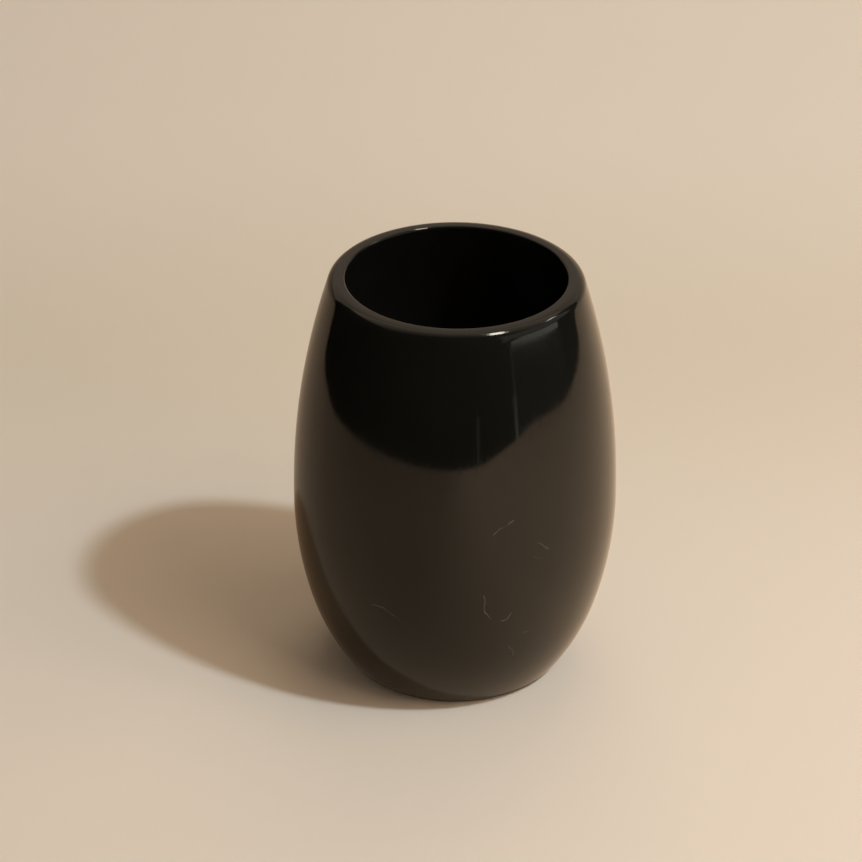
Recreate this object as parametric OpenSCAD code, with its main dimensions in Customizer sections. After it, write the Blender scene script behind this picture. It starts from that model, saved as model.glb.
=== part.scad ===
// Barro negro pot: a barrel-shaped vessel turned by hand from one piece of clay,
// burnished and fired black. The wall keeps one thickness from foot to rim.
// Z = 0 is the surface that the pot stands on, and Z is the axis that it is turned about.

/* [Body] */
// Height from the surface that the pot stands on to the top of the rim
height = 130; // [118:1:145]
// Diameter at the widest part of the belly
belly_d = 99; // [96:0.5:104]
// Height of the widest part of the belly
belly_z = 56.5; // [53:0.5:62]
// Diameter that the shoulder has drawn in to at the height of the rim
rim_d = 75.5; // [68:0.5:82]
// Height of the knee, where the flank turns in more sharply towards the foot
knee_z = 24; // [21:0.5:26]
// How far each side has come in from the belly at the knee
knee_inset = 4.5; // [3:0.5:4.5]

/* [Wall] */
// Thickness of the wall
wall = 4.7; // [3.5:0.1:6]
// Thickness of the floor, measured from the surface that the pot stands on
floor_z = 7; // [5.5:0.5:8]
// Radius of the round corner between the floor and the wall, inside
corner_r = 14; // [8:1:15]

/* [Rim] */
// Radius of the rim's outer edge, as a share of the wall's thickness
lip_outer = 0.7; // [0.3:0.05:0.8]
// Radius of the rim's inner edge, as a share of the wall's thickness
lip_inner = 0.15; // [0.05:0.01:0.15]

/* [Foot] */
// Diameter that the sides would reach at the surface, before the edge is rounded
foot_d = 66.5; // [61:0.5:68]
// Radius of the foot's rounded edge
foot_edge_r = 2.6; // [1:0.1:3.5]
// Diameter of the shallow hollow under the foot
hollow_d = 46; // [30:1:50]
// Depth of that hollow at the middle
hollow_depth = 0.8; // [0.3:0.1:1.5]

/* [Smoothness] */
// Largest gap between an arc of the section and the chords that draw it
chord_gap = 0.01; // [0.005:0.005:0.05]

/* [Hidden] */
$fn = 240;

// Radius of a circle whose tangent is upright at one point and which, at a height
// `rise` above or below that point, has come in by `inset`
function bow_radius(rise, inset) = (rise * rise + inset * inset) / (2 * inset);

// Centre, at the height z, of a circle of radius r that touches the circle
// [centre, radius] from inside, or from outside where r is negative
function nested(centre, radius, r, z) =
    [centre.x + sqrt(pow(radius - r, 2) - pow(z - centre.y, 2)), z];

// Direction from one point to another, in degrees up from the horizontal
function heading(from, to) = atan2(to.y - from.y, to.x - from.x);

// Points along an arc, from one angle to another
function arc(centre, r, start, end) =
    let (steps = ceil(abs(end - start) / (2 * acos(1 - chord_gap / r))))
    [for (i = [0:steps]) let (a = start + (end - start) * i / steps) centre + r * [cos(a), sin(a)]];

// Shoulder: one arc from the widest part of the belly up to the rim
shoulder_r = bow_radius(height - belly_z, (belly_d - rim_d) / 2);
shoulder_c = [belly_d / 2 - shoulder_r, belly_z];

// Flank: one arc from the widest part of the belly down to the knee
flank_r = bow_radius(belly_z - knee_z, knee_inset);
flank_c = [belly_d / 2 - flank_r, belly_z];

// Heel: a tighter arc, tangent to the flank at the knee, down to the foot's diameter
knee = [belly_d / 2 - knee_inset, knee_z];
knee_normal = (knee - flank_c) / flank_r;
knee_to_foot = knee - [foot_d / 2, 0];
heel_r = knee_to_foot * knee_to_foot / (2 * knee_to_foot * knee_normal);
heel_c = knee - heel_r * knee_normal;

// Small rounds, each tangent to the arc that it ends
lip_outer_r = lip_outer * wall;
lip_inner_r = lip_inner * wall;
lip_outer_c = nested(shoulder_c, shoulder_r, lip_outer_r, height - lip_outer_r);
lip_inner_c = nested(shoulder_c, shoulder_r - wall, -lip_inner_r, height - lip_inner_r);
foot_edge_c = nested(heel_c, heel_r, foot_edge_r, foot_edge_r);
corner_c = nested(heel_c, heel_r - wall, corner_r, floor_z + corner_r);

// Angles where one arc hands over to the next, all measured up from the horizontal
lip_outer_angle = heading(shoulder_c, lip_outer_c);
lip_inner_angle = heading(shoulder_c, lip_inner_c);
knee_angle = heading(flank_c, knee);
foot_edge_angle = heading(heel_c, foot_edge_c);
corner_angle = heading(heel_c, corner_c);

// Hollow under the foot: one arc about a point below it, on the axis
hollow_r = bow_radius(hollow_d / 2, hollow_depth);
hollow_c = [0, hollow_depth - hollow_r];
hollow_angle = heading(hollow_c, [hollow_d / 2, 0]);

// Outside of the section, from the middle of the hollow out and up to the rim
outside = concat(
    arc(hollow_c, hollow_r, 90, hollow_angle),
    arc(foot_edge_c, foot_edge_r, -90, foot_edge_angle),
    arc(heel_c, heel_r, foot_edge_angle, knee_angle),
    arc(flank_c, flank_r, knee_angle, 0),
    arc(shoulder_c, shoulder_r, 0, lip_outer_angle),
    arc(lip_outer_c, lip_outer_r, lip_outer_angle, 90)
);

// Inside of the section, from the rim down to the middle of the floor
inside = concat(
    arc(lip_inner_c, lip_inner_r, 90, 180 + lip_inner_angle),
    arc(shoulder_c, shoulder_r - wall, lip_inner_angle, 0),
    arc(flank_c, flank_r - wall, 0, knee_angle),
    arc(heel_c, heel_r - wall, knee_angle, corner_angle),
    arc(corner_c, corner_r, corner_angle, -90),
    [[0, floor_z]]
);

// The whole pot: one piece of fired clay
module pot() {
    color([0.06, 0.058, 0.06]) rotate_extrude() polygon(concat(outside, inside));
}

pot();
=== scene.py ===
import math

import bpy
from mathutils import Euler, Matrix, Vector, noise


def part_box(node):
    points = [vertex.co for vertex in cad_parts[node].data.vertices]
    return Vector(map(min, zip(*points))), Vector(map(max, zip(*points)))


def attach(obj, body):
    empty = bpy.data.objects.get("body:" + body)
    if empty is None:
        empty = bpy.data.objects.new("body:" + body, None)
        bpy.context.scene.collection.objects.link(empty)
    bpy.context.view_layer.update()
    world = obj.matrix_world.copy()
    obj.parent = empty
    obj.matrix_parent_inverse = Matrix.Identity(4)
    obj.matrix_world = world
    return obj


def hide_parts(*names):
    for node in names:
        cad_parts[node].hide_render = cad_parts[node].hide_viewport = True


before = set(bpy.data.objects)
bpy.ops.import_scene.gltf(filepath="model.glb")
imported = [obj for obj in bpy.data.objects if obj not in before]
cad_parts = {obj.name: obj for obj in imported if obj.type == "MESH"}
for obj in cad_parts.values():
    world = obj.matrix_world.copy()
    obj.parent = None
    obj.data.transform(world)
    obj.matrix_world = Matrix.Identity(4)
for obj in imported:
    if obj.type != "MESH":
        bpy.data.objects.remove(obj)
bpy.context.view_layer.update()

# The looks of a burnished black clay pot. Everything is in metres, in the CAD model's frame:
# the pot stands on z = 0 and +z is the axis that it was turned about. Bearings are in degrees
# about +z, 0 at the front (-y) and 90 on the right (+x).

MM = 0.001

# ---------------------------------------------------------------- sizes of the section
LOW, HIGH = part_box("pot")
HEIGHT = HIGH.z - LOW.z
BELLY_R = (HIGH.x - LOW.x) / 2
BELLY_Z = 56.5 * MM
RIM_R = 37.75 * MM
KNEE_INSET = 4.5 * MM
KNEE_Z = 24.0 * MM
FOOT_R = 33.25 * MM
FOOT_EDGE_R = 2.6 * MM
HOLLOW_R = 23.0 * MM
HOLLOW_DEPTH = 0.8 * MM
WALL = 4.7 * MM
FLOOR_Z = 7.0 * MM
CORNER_R = 14.0 * MM
LIP_OUTER_R = 0.7 * WALL
LIP_INNER_R = 0.15 * WALL

# ---------------------------------------------------------------- how finely it is meshed
SEGMENTS = 384
LONGEST_STEP = 1.6 * MM
WIDEST_TURN = math.radians(9)

# ---------------------------------------------------------------- what the hand left in the shape
DENT = 0.10 * MM
DENT_SIZE = 26.0 * MM
RIDGE = 0.006 * MM
RIDGE_PITCH = 7.5 * MM
DEEPEST_LOSS = 0.55

# ---------------------------------------------------------------- the clay's surface
POLISHED_DARK = (0.0050, 0.0050, 0.0042, 1)
POLISHED_LIGHT = (0.0080, 0.0078, 0.0068, 1)
RAW_DARK = (0.017, 0.016, 0.015, 1)
RAW_LIGHT = (0.045, 0.043, 0.040, 1)
CLAY_IOR = 1.48
POLISH = 0.06
RAW_ROUGHNESS = 0.78
PATCH_SIZE = 19.0 * MM
PATCH_RAMP = (0.3, 0.8)
PATCH_DULL = 0.03
STROKE_WIDTH = 1.1 * MM
STROKE_STRETCH = 30.0
STROKE_RAMP = (0.45, 0.75)
STROKE_DULL = 0.05
STROKE_DEPTH = 0.0008 * MM
GRAIN_SIZE = 0.6 * MM
GRAIN_DEPTH = 0.12 * MM

# ---------------------------------------------------------------- pale hair veins
VEIN_COLOUR = (0.20, 0.18, 0.15, 1)
VEIN_STRENGTH = 0.35
VEIN_DULL = 0.25
VEIN_DEPTH = 0.004 * MM
VEIN_WIDTH = 0.34 * MM
VEIN_WOBBLE = 1.2 * MM
VEIN_WOBBLE_SIZE = 3.0 * MM
VEIN_BREAK = 2.5 * MM
VEIN_BREAK_RAMP = (0.26, 0.50)
# Short veins on the back, at most one in each cell of this size; their reach is in cells
CELL = 17.0 * MM
SHORT_VEIN_FULL = 0.05
SHORT_VEIN_END = 0.22
SHORT_VEIN_RARITY = (0.66, 0.68)
SHORT_VEIN_STRENGTH = 0.7
# Strength, then the places it runs through as (bearing in degrees, height in millimetres)
VEINS = [
    (0.9, [(12.5, 69), (15.5, 71), (20.5, 73)]),
    (0.7, [(28, 64), (31, 63), (33.5, 60.5)]),
    (0.4, [(28, 59), (30.5, 58)]),
    (1.0, [(10, 48.5), (10.5, 42), (13, 39.5), (16.5, 38), (19, 38.5), (20.5, 41)]),
    (0.8, [(-31, 41), (-26.5, 41), (-22.5, 39), (-20, 37.5)]),
    (0.5, [(26, 31.5), (29.5, 32)]),
    (0.5, [(20.5, 27.5), (22.5, 25), (24, 22)]),
]

# ---------------------------------------------------------------- the studio
PAPER_DARK = (0.765, 0.675, 0.575, 1)
PAPER_LIGHT = (0.795, 0.705, 0.605, 1)
PAPER_MOTTLE_SIZE = 0.25
PAPER_TOOTH_SIZE = 0.7 * MM
PAPER_TOOTH = 0.02 * MM
PAPER_GLOSS = 0.1
# Where the paper starts to bend up it catches less light, so its colour is painted darker and a
# little yellower there: painted shade
BEND_NEAR_Y = 0.02
BEND_Y = 0.2
BEND_FAR_Y = 0.36
BEND_SHADE = (0.92, 0.915, 0.87, 1)
WHITE = (1, 1, 1, 1)
SWEEP_FLAT = 1.3
SWEEP_CURVE = 0.45
SWEEP_TOP = 1.0
SWEEP_RINGS = 26
SWEEP_TURNS = 12
SWEEP_SIDES = 96
# Behind the pot the paper rises in a curve of this radius, from this y on
BANK_Y = 0.16
BANK_R = 1.0

WARM = (1.0, 0.775, 0.56)
COOL = (0.713, 0.875, 1.0)
# Each light: bearing, elevation, distance, size, watts, colour and shape
LIGHTS = {
    "key": (60.4, 55.9, 2.4, 0.15, 26.3, COOL, "DISK"),
    "front": (52.0, 48.0, 0.8, 0.45, 1.85, WARM, "SQUARE"),
    "right": (85.0, 30.0, 1.5, 0.8, 3.6, WARM, "SQUARE"),
    "back": (170.0, 55.0, 1.6, 0.9, 3.5, WARM, "SQUARE"),
    "overhead": (60.0, 82.0, 1.7, 2.0, 5.0, WARM, "SQUARE"),
}
ROOM_COLOUR = (1.0, 0.87, 0.72, 1)
ROOM_STRENGTH = 0.01

# ---------------------------------------------------------------- what only the polish mirrors
# A sheet with rounded front corners: the higher the power, the squarer the corner
SHEET_CENTRE_X = 0.075
SHEET_HALF_WIDTH = 0.455
SHEET_FRONT = 0.415
SHEET_LEFT_POWER = 2.5
SHEET_RIGHT_POWER = 5.0
SHEET_FLARE_Y = 0.2
SHEET_LIFT = 0.2 * MM
# The mirrored sheet's colour, darker than the floor paper's, is painted shade; the glow below is
# painted sheen
SHEET_COLOUR = (0.50, 0.385, 0.275, 1)
SHINE_COLOUR = (1.0, 0.74, 0.50, 1)
SHINE = 0.36
# The painted sheen, a glow on the sheet, rises to the right, then fades to a share of itself,
# over these stretches of x
SHINE_RISES = (-0.06, 0.08)
SHINE_FADES = (0.12, 0.6)
SHINE_FADED = 0.2
# How many times as high as the floor the mirrored sheet rises
MIRRORED_BANK = 1.05
MIRRORED_STEPS = 48
BACKDROP_Y = 1.2
BACKDROP_HALF_WIDTH = 1.6
BACKDROP_COLOUR = (1.0, 0.80, 0.60, 1)
BACKDROP_SHINE = 0.45
CEILING_HEIGHT = 1.7
CEILING_HALF_WIDTH = 1.6
CEILING_FRONT_Y = -0.75
CEILING_COLOUR = (1.0, 0.80, 0.60, 1)
CEILING_SHINE = 0.85
ROOM_DISTANCE = 1.5
CARD_COLOUR = (1.0, 0.95, 0.80, 1)
# Glowing cards, seen only in the polish, that paint reflections on it. Brightness, then the
# corners as (bearing, elevation) in degrees seen from the pot's rim:
# a dim panel, its left edge in two parts, its top edge, a pale line, a haze above the panel,
# and two bright windows, which paint the highlights on the lip
CARDS = [
    (0.03, [(45, -13), (92, -13), (92, -3.4), (45, 3.0)]),
    (0.45, [(42.8, -13), (45.4, -13), (45.4, -5), (42.8, -5)]),
    (0.16, [(43.6, -5), (46, -5), (46, 3.4), (43.6, 3.4)]),
    (0.90, [(45, 1.8), (92, -4.0), (92, 8.0), (45, 5.0)]),
    (0.16, [(14.5, -14), (16.5, -14), (16.5, -6), (14.5, -6)]),
    (0.32, [(38, 6), (113, 11), (113, 36), (38, 36)]),
    (22.0, [(52, 67), (69, 62.5), (119, 70.5), (119.5, 76)]),
    (8.0, [(101, 29), (112, 29), (112, 43), (101, 43)]),
]

# ---------------------------------------------------------------- the camera
CAMERA_AT = Vector((-0.0074, -0.8719, 0.5747))
CAMERA_DOWN = 29.72
CAMERA_ROLL = 0.24
LENS = 137.8
SENSOR = 36.0


# ---------------------------------------------------------------- shape
def bow_radius(rise, inset):
    """Radius of a circle, upright at one point, that has come in by inset at rise above it."""
    return (rise * rise + inset * inset) / (2 * inset)


def nested(centre, radius, r, z):
    """Centre at height z of a circle of radius r touching [centre, radius] from inside."""
    return Vector((centre.x + math.sqrt((radius - r) ** 2 - (z - centre.y) ** 2), z))


def heading(start, end):
    """Direction from one point of the section to another, as an angle above the horizontal."""
    return math.atan2(end.y - start.y, end.x - start.x)


def arc(centre, r, start, end):
    """Points along an arc, without its last one, close enough together for a polished face."""
    turn = abs(end - start)
    steps = math.ceil(max(turn * r / LONGEST_STEP, turn / WIDEST_TURN))
    angles = [start + (end - start) * i / steps for i in range(steps)]
    return [centre + r * Vector((math.cos(a), math.sin(a))) for a in angles]


def straight(start, end):
    """Points along a straight stretch of the section, without its last one."""
    steps = math.ceil((end - start).length / LONGEST_STEP)
    return [start.lerp(end, i / steps) for i in range(steps)]


def section():
    """Half section as points (distance from the axis, height). The first list runs from under
    the foot up the outside to the rim, and the second from the rim down to the floor's middle."""
    up, down = math.pi / 2, -math.pi / 2
    shoulder_r = bow_radius(HEIGHT - BELLY_Z, BELLY_R - RIM_R)
    shoulder_c = Vector((BELLY_R - shoulder_r, BELLY_Z))
    flank_r = bow_radius(BELLY_Z - KNEE_Z, KNEE_INSET)
    flank_c = Vector((BELLY_R - flank_r, BELLY_Z))
    knee = Vector((BELLY_R - KNEE_INSET, KNEE_Z))
    knee_normal = (knee - flank_c) / flank_r
    foot_to_knee = knee - Vector((FOOT_R, 0))
    heel_r = foot_to_knee.length_squared / (2 * foot_to_knee.dot(knee_normal))
    heel_c = knee - heel_r * knee_normal
    hollow_r = bow_radius(HOLLOW_R, HOLLOW_DEPTH)
    hollow_c = Vector((0, HOLLOW_DEPTH - hollow_r))
    hollow_edge = Vector((HOLLOW_R, 0))

    foot_c = nested(heel_c, heel_r, FOOT_EDGE_R, FOOT_EDGE_R)
    outer_c = nested(shoulder_c, shoulder_r, LIP_OUTER_R, HEIGHT - LIP_OUTER_R)
    inner_c = nested(shoulder_c, shoulder_r - WALL, -LIP_INNER_R, HEIGHT - LIP_INNER_R)
    corner_c = nested(heel_c, heel_r - WALL, CORNER_R, FLOOR_Z + CORNER_R)
    knee_angle = heading(flank_c, knee)
    foot_angle = heading(heel_c, foot_c)
    outer_angle = heading(shoulder_c, outer_c)
    inner_angle = heading(shoulder_c, inner_c)
    corner_angle = heading(heel_c, corner_c)

    outside = (
        arc(hollow_c, hollow_r, up, heading(hollow_c, hollow_edge))
        + straight(hollow_edge, Vector((foot_c.x, 0)))
        + arc(foot_c, FOOT_EDGE_R, down, foot_angle)
        + arc(heel_c, heel_r, foot_angle, knee_angle)
        + arc(flank_c, flank_r, knee_angle, 0)
        + arc(shoulder_c, shoulder_r, 0, outer_angle)
        + arc(outer_c, LIP_OUTER_R, outer_angle, up)
        + straight(Vector((outer_c.x, HEIGHT)), Vector((inner_c.x, HEIGHT)))
    )
    inside = (
        arc(inner_c, LIP_INNER_R, up, math.pi + inner_angle)
        + arc(shoulder_c, shoulder_r - WALL, inner_angle, 0)
        + arc(flank_c, flank_r - WALL, 0, knee_angle)
        + arc(heel_c, heel_r - WALL, knee_angle, corner_angle)
        + arc(corner_c, CORNER_R, corner_angle, down)
        + straight(Vector((corner_c.x, FLOOR_Z)), Vector((0, FLOOR_Z)))
        + [Vector((0, FLOOR_Z))]
    )
    return outside, inside


OUTSIDE, INSIDE = section()


def smooth(t):
    """0 below 0, 1 above 1 and an easy curve between."""
    t = min(max(t, 0.0), 1.0)
    return t * t * (3 - 2 * t)


def burnish_outside(point):
    """How well the clay is polished: fully up the wall, not at all under the foot."""
    if point.x < FOOT_R - 2 * FOOT_EDGE_R:
        return 0.0
    return smooth(point.y / FOOT_EDGE_R)


def burnish_inside(point):
    """Inside, the polish fades with depth, where the stone is hard to work."""
    return 1 - DEEPEST_LOSS * smooth((HEIGHT - point.y) / HEIGHT)


def hand_depth(x, y, z, angle):
    """How far the clay stands inside the true round: shallow dents and faint turning ridges."""
    dent = DENT * (1 + noise.noise(Vector((x, y, z)) / DENT_SIZE)) / 2
    ridge = RIDGE * (1 + math.sin(math.tau * z / RIDGE_PITCH + angle)) / 2
    return dent + ridge


def ring(point, angle):
    """The section's point turned about z to an angle, with the marks of the hand in it, except
    close to the axis."""
    x, y = point.x * math.cos(angle), point.x * math.sin(angle)
    if point.x < FOOT_R / 2:
        return (x, y, point.y)
    share = 1 - hand_depth(x, y, point.y, angle) / point.x
    return (x * share, y * share, point.y)


def pot_mesh():
    """The section turned about z, with a closed pole at each end and smooth faces."""
    outline = OUTSIDE + INSIDE
    polish = [burnish_outside(p) for p in OUTSIDE] + [burnish_inside(p) for p in INSIDE]
    angles = [math.tau * step / SEGMENTS for step in range(SEGMENTS)]
    vertices = [(0, 0, outline[0].y)]
    vertices += [ring(point, angle) for point in outline[1:-1] for angle in angles]
    vertices += [(0, 0, outline[-1].y)]
    burnish = [polish[0]]
    burnish += [value for value in polish[1:-1] for angle in angles]
    burnish += [polish[-1]]

    rings = len(outline) - 2
    top = 1 + (rings - 1) * SEGMENTS
    last = len(vertices) - 1
    faces = []
    for step in range(SEGMENTS):
        after = (step + 1) % SEGMENTS
        faces.append((0, 1 + after, 1 + step))
        faces.append((top + step, top + after, last))
        for low in range(1, top, SEGMENTS):
            high = low + SEGMENTS
            faces.append((low + step, low + after, high + after, high + step))

    mesh = bpy.data.meshes.new("clay_pot")
    mesh.from_pydata(vertices, [], faces)
    mesh.shade_smooth()
    mesh.attributes.new("burnish", "FLOAT", "POINT").data.foreach_set("value", burnish)
    return mesh


def on_wall(bearing, height):
    """Point of the outer wall at a bearing in degrees and a height."""
    for below, above in zip(OUTSIDE, OUTSIDE[1:]):
        if below.y <= height <= above.y and below.x > HOLLOW_R:
            radius = below.lerp(above, (height - below.y) / (above.y - below.y)).x
            break
    turn = math.radians(bearing)
    return Vector((radius * math.sin(turn), -radius * math.cos(turn), height))


# ---------------------------------------------------------------- materials
class Recipe:
    """Builds a node tree: each call adds one node and gives back the socket with its result."""

    def __init__(self, owner):
        owner.use_nodes = True
        self.tree = owner.node_tree
        self.tree.nodes.clear()

    def node(self, kind, inputs, **settings):
        node = self.tree.nodes.new("ShaderNode" + kind)
        for name, value in settings.items():
            setattr(node, name, value)
        for key, value in inputs.items():
            if isinstance(value, bpy.types.NodeSocket):
                self.tree.links.new(value, node.inputs[key])
            else:
                node.inputs[key].default_value = value
        return node

    def add(self, kind, inputs, output=0, **settings):
        return self.node(kind, inputs, **settings).outputs[output]

    def math(self, operation, a, b=0.0):
        return self.add("Math", {0: a, 1: b}, operation=operation)

    def vector(self, operation, a, b=(0, 0, 0)):
        return self.add("VectorMath", {0: a, 1: b}, operation=operation)

    def measure(self, operation, a, b=(0, 0, 0)):
        return self.add("VectorMath", {0: a, 1: b}, "Value", operation=operation)

    def scale(self, vector, factor):
        return self.add("VectorMath", {0: vector, "Scale": factor}, operation="SCALE")

    def noise(self, at, size, detail=2.0, stretch=(1, 1, 1)):
        """Noise from 0 to 1, with features about `size` metres across, longer by `stretch`."""
        scaled = self.vector("MULTIPLY", at, tuple(1 / (size * s) for s in stretch))
        return self.add("TexNoise", {"Vector": scaled, "Scale": 1.0, "Detail": detail})

    def ramp(self, value, low, high, to_low=0.0, to_high=1.0):
        sockets = {0: value, 1: low, 2: high, 3: to_low, 4: to_high}
        return self.add("MapRange", sockets, interpolation_type="SMOOTHSTEP")

    def blend(self, amount, a, b):
        return self.add("Mix", {0: amount, 6: a, 7: b}, 2, data_type="RGBA")

    def between(self, amount, a, b):
        return self.add("Mix", {0: amount, 2: a, 3: b}, 0, data_type="FLOAT")


def without(recipe, vector, direction):
    """A vector with its part along a unit direction taken away."""
    part = recipe.measure("DOT_PRODUCT", vector, direction)
    return recipe.vector("SUBTRACT", vector, recipe.scale(direction, part))


def line_mask(recipe, at, start, end):
    """1 on the straight line from start to end, 0 a vein's width away from it."""
    along = end - start
    from_start = recipe.vector("SUBTRACT", at, tuple(start))
    share = recipe.measure("DOT_PRODUCT", from_start, tuple(along / along.length_squared))
    nearest = recipe.scale(tuple(along), recipe.add("Clamp", {0: share}))
    distance = recipe.measure("DISTANCE", from_start, nearest)
    return recipe.ramp(distance, 0.0, VEIN_WIDTH, 1.0, 0.0)


def scattered_veins(recipe, at):
    """A short line through the middle of a few of the cells that fill the back of the pot."""
    scaled = recipe.scale(at, 1 / CELL)
    cell = recipe.node("TexVoronoi", {"Vector": scaled, "Scale": 1.0})
    lean = recipe.vector("SUBTRACT", cell.outputs["Color"], (0.5, 0.5, 0.5))
    outward = recipe.vector("NORMALIZE", recipe.vector("MULTIPLY", at, (1, 1, 0)))
    offset = without(recipe, recipe.vector("SUBTRACT", scaled, cell.outputs["Position"]), outward)
    line = recipe.vector("NORMALIZE", without(recipe, lean, outward))
    along = recipe.measure("DOT_PRODUCT", offset, line)
    away = recipe.math("ABSOLUTE", along)
    reach = recipe.ramp(away, SHORT_VEIN_FULL, SHORT_VEIN_END, 1.0, 0.0)
    distance = recipe.measure("DISTANCE", offset, recipe.scale(line, along))
    thin = recipe.ramp(distance, 0.0, VEIN_WIDTH / CELL, 1.0, 0.0)
    chance = recipe.measure("LENGTH", lean)
    chosen = recipe.ramp(chance, *SHORT_VEIN_RARITY, 0.0, SHORT_VEIN_STRENGTH)
    behind = recipe.ramp(recipe.add("SeparateXYZ", {"Vector": at}, "Y"), 0.0, CELL)
    line = recipe.math("MULTIPLY", reach, thin)
    return recipe.math("MULTIPLY", line, recipe.math("MULTIPLY", chosen, behind))


def vein_mask(recipe, at):
    """The hair veins on the front, and small ones scattered over the back."""
    wobble = recipe.add("TexNoise", {"Vector": at, "Scale": 1 / VEIN_WOBBLE_SIZE}, "Color")
    shift = recipe.scale(recipe.vector("SUBTRACT", wobble, (0.5, 0.5, 0.5)), VEIN_WOBBLE)
    bent = recipe.vector("ADD", at, shift)
    mask = scattered_veins(recipe, bent)
    for strength, places in VEINS:
        points = [on_wall(bearing, height * MM) for bearing, height in places]
        for start, end in zip(points, points[1:]):
            line = recipe.math("MULTIPLY", line_mask(recipe, bent, start, end), strength)
            mask = recipe.math("MAXIMUM", mask, line)
    breaks = recipe.ramp(recipe.noise(at, VEIN_BREAK), *VEIN_BREAK_RAMP)
    return recipe.math("MULTIPLY", mask, breaks)


def burnished_clay():
    """Black reduced clay: polished with a stone outside, left dull and grainy under the foot."""
    material = bpy.data.materials.new("burnished_clay")
    recipe = Recipe(material)
    at = recipe.add("TexCoord", {}, "Object")
    burnish = recipe.add("Attribute", {}, "Fac", attribute_name="burnish")
    raw = recipe.math("SUBTRACT", 1.0, burnish)
    patches = recipe.noise(at, PATCH_SIZE, detail=3.0)
    strokes = recipe.noise(at, STROKE_WIDTH, stretch=(1, 1, STROKE_STRETCH))
    grain = recipe.noise(at, GRAIN_SIZE, detail=4.0)
    veins = recipe.math("MULTIPLY", vein_mask(recipe, at), burnish)

    polished_colour = recipe.blend(patches, POLISHED_DARK, POLISHED_LIGHT)
    raw_colour = recipe.blend(grain, RAW_DARK, RAW_LIGHT)
    colour = recipe.blend(burnish, raw_colour, polished_colour)
    colour = recipe.blend(recipe.math("MULTIPLY", veins, VEIN_STRENGTH), colour, VEIN_COLOUR)

    stroke_dull = recipe.ramp(strokes, *STROKE_RAMP, 0.0, STROKE_DULL)
    patch_dull = recipe.ramp(patches, *PATCH_RAMP, POLISH, POLISH + PATCH_DULL)
    polished = recipe.math("ADD", stroke_dull, patch_dull)
    polished = recipe.math("ADD", polished, recipe.math("MULTIPLY", veins, VEIN_DULL))
    roughness = recipe.between(burnish, RAW_ROUGHNESS, polished)

    stroke_height = recipe.math("MULTIPLY", strokes, STROKE_DEPTH)
    grain_height = recipe.math("MULTIPLY", recipe.math("MULTIPLY", grain, raw), GRAIN_DEPTH)
    vein_height = recipe.math("MULTIPLY", veins, -VEIN_DEPTH)
    height = recipe.math("ADD", recipe.math("ADD", stroke_height, grain_height), vein_height)
    normal = recipe.add("Bump", {"Height": height, "Distance": 1.0})
    shader = {"Base Color": colour, "Roughness": roughness, "Normal": normal, "IOR": CLAY_IOR}
    recipe.node("OutputMaterial", {"Surface": recipe.add("BsdfPrincipled", shader)})
    return material


def paper():
    """Matt beige background paper with a little tooth, and painted shade along its bend."""
    material = bpy.data.materials.new("paper")
    recipe = Recipe(material)
    at = recipe.add("TexCoord", {}, "Object")
    y = recipe.add("SeparateXYZ", {"Vector": at}, "Y")
    nearing = recipe.ramp(y, BEND_NEAR_Y, BEND_Y)
    bend = recipe.math("MULTIPLY", nearing, recipe.ramp(y, BEND_Y, BEND_FAR_Y, 1.0, 0.0))
    mottle = recipe.blend(recipe.noise(at, PAPER_MOTTLE_SIZE), PAPER_DARK, PAPER_LIGHT)
    # The colour is darkened along the bend: painted shade
    colour = recipe.vector("MULTIPLY", mottle, recipe.blend(bend, WHITE, BEND_SHADE))
    tooth = recipe.math("MULTIPLY", recipe.noise(at, PAPER_TOOTH_SIZE), PAPER_TOOTH)
    normal = recipe.add("Bump", {"Height": tooth, "Distance": 1.0})
    shader = {
        "Base Color": colour,
        "Roughness": 1.0,
        "Specular IOR Level": PAPER_GLOSS,
        "Normal": normal,
    }
    recipe.node("OutputMaterial", {"Surface": recipe.add("BsdfPrincipled", shader)})
    return material


def painted_sheen_paper():
    """The same paper as the pot sees it from low down, its colour painted darker as painted
    shade, and a glow painted on it on the side of the lights as painted sheen.
    """
    material = bpy.data.materials.new("painted_sheen_paper")
    recipe = Recipe(material)
    at = recipe.add("TexCoord", {}, "Object")
    x = recipe.add("SeparateXYZ", {"Vector": at}, "X")
    # A glow painted on towards the right: painted sheen
    rising = recipe.ramp(x, *SHINE_RISES, 0.0, SHINE)
    fading = recipe.ramp(x, *SHINE_FADES, 1.0, SHINE_FADED)
    shine = recipe.math("MULTIPLY", rising, fading)
    # Its colour, darker than the floor paper's, is painted shade
    shader = {
        "Base Color": SHEET_COLOUR,
        "Roughness": 1.0,
        "Specular IOR Level": 0.0,
        "Emission Color": SHINE_COLOUR,
        "Emission Strength": shine,
    }
    recipe.node("OutputMaterial", {"Surface": recipe.add("BsdfPrincipled", shader)})
    return material


def glow(name, colour, strength):
    """An even glow, for something pale that is out of the picture."""
    material = bpy.data.materials.new(name)
    recipe = Recipe(material)
    light = recipe.add("Emission", {"Color": colour, "Strength": strength})
    recipe.node("OutputMaterial", {"Surface": light})
    return material


def ceiling_glow():
    """A pale ceiling whose glow is painted on, bright at the back and dark above the camera:
    painted light.
    """
    material = bpy.data.materials.new("ceiling")
    recipe = Recipe(material)
    at = recipe.add("TexCoord", {}, "Object")
    y = recipe.add("SeparateXYZ", {"Vector": at}, "Y")
    # The glow ramps up towards the back: painted light
    sockets = {0: y, 1: CEILING_FRONT_Y, 2: BACKDROP_Y, 3: 0.0, 4: CEILING_SHINE}
    strength = recipe.add("MapRange", sockets)
    light = recipe.add("Emission", {"Color": CEILING_COLOUR, "Strength": strength})
    recipe.node("OutputMaterial", {"Surface": light})
    return material


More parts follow.
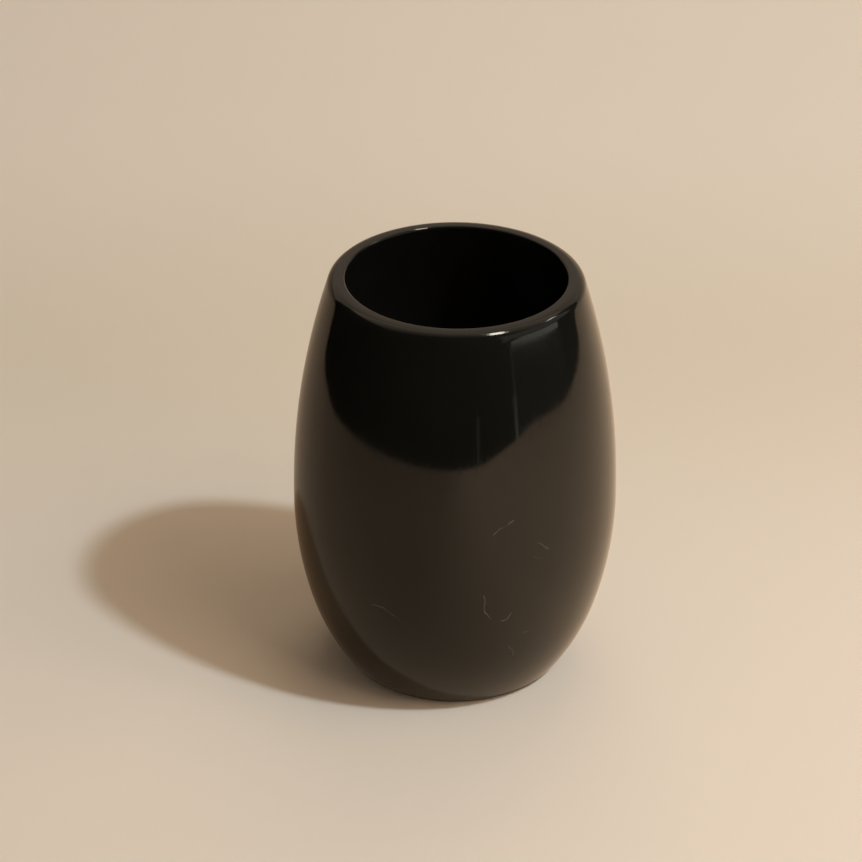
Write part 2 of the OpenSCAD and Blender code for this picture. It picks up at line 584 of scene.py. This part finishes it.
# ---------------------------------------------------------------- studio
def add_object(name, data):
    made = bpy.data.objects.new(name, data)
    bpy.context.scene.collection.objects.link(made)
    return made


def add_sheet(name, vertices, faces, material):
    """A sheet of the studio."""
    mesh = bpy.data.meshes.new(name)
    mesh.from_pydata(vertices, [], faces)
    mesh.shade_smooth()
    mesh.materials.append(material)
    made = add_object(name, mesh)
    return made


def add_mirrored(name, vertices, faces, material):
    """A sheet that is seen only in the polish of the pot."""
    made = add_sheet(name, vertices, faces, material)
    made.visible_camera = False
    made.visible_diffuse = False
    made.visible_shadow = False


def bank(y):
    """How far the paper has risen at a distance behind the pot."""
    return max(0.0, y - BANK_Y) ** 2 / (2 * BANK_R)


def add_sweep(material):
    """The pale floor, which curves up into a low wall all round. The pot doesn't mirror it."""
    sides = SWEEP_SIDES
    outline = [(SWEEP_FLAT * i / SWEEP_RINGS, 0.0) for i in range(SWEEP_RINGS)]
    for i in range(SWEEP_TURNS + 1):
        turn = math.pi / 2 * i / SWEEP_TURNS
        r = SWEEP_FLAT + SWEEP_CURVE * math.sin(turn)
        outline.append((r, SWEEP_CURVE * (1 - math.cos(turn))))
    outline.append((SWEEP_FLAT + SWEEP_CURVE, SWEEP_TOP))
    vertices = []
    for r, z in outline:
        for i in range(sides):
            x, y = r * math.cos(math.tau * i / sides), r * math.sin(math.tau * i / sides)
            vertices.append((x, y, z + bank(y)))
    faces = []
    for k in range(len(outline) - 1):
        for i in range(sides):
            low, high, after = k * sides, (k + 1) * sides, (i + 1) % sides
            faces.append((low + i, low + after, high + after, high + i))
    sweep = add_sheet("sweep", vertices, faces, material)
    sweep.visible_glossy = False
    sweep.visible_shadow = False


def towards(bearing, elevation):
    """Unit vector at a bearing and an elevation in degrees."""
    turn, rise = math.radians(bearing), math.radians(elevation)
    flat = math.cos(rise)
    return Vector((math.sin(turn) * flat, -math.cos(turn) * flat, math.sin(rise)))


def sheet_sides(y):
    """Left and right edge of the mirrored sheet: rounded front corners, and flaring sides."""
    left, right, wide = SHEET_HALF_WIDTH, SHEET_HALF_WIDTH, BACKDROP_HALF_WIDTH
    if y < 0:
        ahead = -y / SHEET_FRONT
        left *= (1 - ahead ** SHEET_LEFT_POWER) ** (1 / SHEET_LEFT_POWER)
        right *= (1 - ahead ** SHEET_RIGHT_POWER) ** (1 / SHEET_RIGHT_POWER)
    flare = max(0.0, y - SHEET_FLARE_Y) / (BACKDROP_Y - SHEET_FLARE_Y)
    left += (wide - left) * flare
    right += (wide - right) * flare
    return SHEET_CENTRE_X - left, SHEET_CENTRE_X + right


def add_mirrored_sheet():
    """The sheet of paper that the pot stands on, as the polish sees it."""
    steps = MIRRORED_STEPS
    rows = [SHEET_FRONT * math.sin(math.pi / 2 * (i / steps - 1)) for i in range(steps)]
    rows += [BACKDROP_Y * i / steps for i in range(steps + 1)]
    vertices = []
    for y in rows:
        left, right = sheet_sides(y)
        z = MIRRORED_BANK * bank(y) + SHEET_LIFT
        vertices += [(left, y, z), (right, y, z)]
    faces = [(2 * k, 2 * k + 1, 2 * k + 3, 2 * k + 2) for k in range(len(rows) - 1)]
    add_mirrored("mirrored_sheet", vertices, faces, painted_sheen_paper())


def across(half_width, first, second):
    """Corners of the rectangle between two lines across the room, each given as (y, z)."""
    low, high = -half_width, half_width
    return [(low, *first), (high, *first), (high, *second), (low, *second)]


def add_mirrored_room():
    """What else the polished clay mirrors: a glowing wall and ceiling behind the sheet, and
    glowing cards further round on the right that paint reflections and highlights in the polish."""
    wall = across(BACKDROP_HALF_WIDTH, (BACKDROP_Y, 0), (BACKDROP_Y, CEILING_HEIGHT))
    wall_glow = glow("backdrop", BACKDROP_COLOUR, BACKDROP_SHINE)
    add_mirrored("mirrored_wall", wall, [range(4)], wall_glow)

    front, back = (CEILING_FRONT_Y, CEILING_HEIGHT), (BACKDROP_Y, CEILING_HEIGHT)
    ceiling = across(CEILING_HALF_WIDTH, front, back)
    add_mirrored("mirrored_ceiling", ceiling, [range(4)], ceiling_glow())

    rim = Vector((0, 0, HEIGHT))
    # Each card glows without being a lamp: painted reflections, and the two bright ones painted
    # highlights
    for number, (brightness, places) in enumerate(CARDS):
        corners = [rim + ROOM_DISTANCE * towards(*place) for place in places]
        card_glow = glow("card", CARD_COLOUR, brightness)
        add_mirrored(f"mirrored_card_{number}", corners, [range(4)], card_glow)


def add_area_light(name, bearing, elevation, distance, size, watts, colour, shape):
    """A light that faces the pot's foot and isn't mirrored in it: the cards stand in for it."""
    data = bpy.data.lights.new(name, "AREA")
    data.shape = shape
    data.size = size
    data.energy = watts
    data.color = colour
    light = add_object(name, data)
    direction = towards(bearing, elevation)
    light.location = direction * distance
    light.rotation_mode = "QUATERNION"
    light.rotation_quaternion = (-direction).to_track_quat("-Z", "Y")
    light.visible_glossy = False


def add_lights():
    """A small cool key light on the right, soft warm ones round it and overhead, a dim room."""
    for name, settings in LIGHTS.items():
        add_area_light(name, *settings)
    world = bpy.data.worlds.new("room")
    recipe = Recipe(world)
    room = recipe.add("Background", {"Color": ROOM_COLOUR, "Strength": ROOM_STRENGTH})
    recipe.node("OutputWorld", {"Surface": room})
    world.cycles_visibility.glossy = False
    bpy.context.scene.world = world


def add_camera():
    """The photograph's viewpoint: from the front, above, and turned by a hair."""
    data = bpy.data.cameras.new("camera")
    data.lens = LENS
    data.sensor_width = SENSOR
    camera = add_object("camera", data)
    tilt = Euler((math.radians(90 - CAMERA_DOWN), 0, 0)).to_matrix()
    roll = Matrix.Rotation(math.radians(CAMERA_ROLL), 3, "Z")
    camera.matrix_world = Matrix.Translation(CAMERA_AT) @ (tilt @ roll).to_4x4()
    bpy.context.scene.camera = camera


# ---------------------------------------------------------------- everything together
bpy.context.scene.view_settings.view_transform = "Standard"
add_camera()
pot = add_object("clay_pot", pot_mesh())
pot.data.materials.append(burnished_clay())
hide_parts("pot")
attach(pot, "root")
add_sweep(paper())
add_mirrored_sheet()
add_mirrored_room()
add_lights()
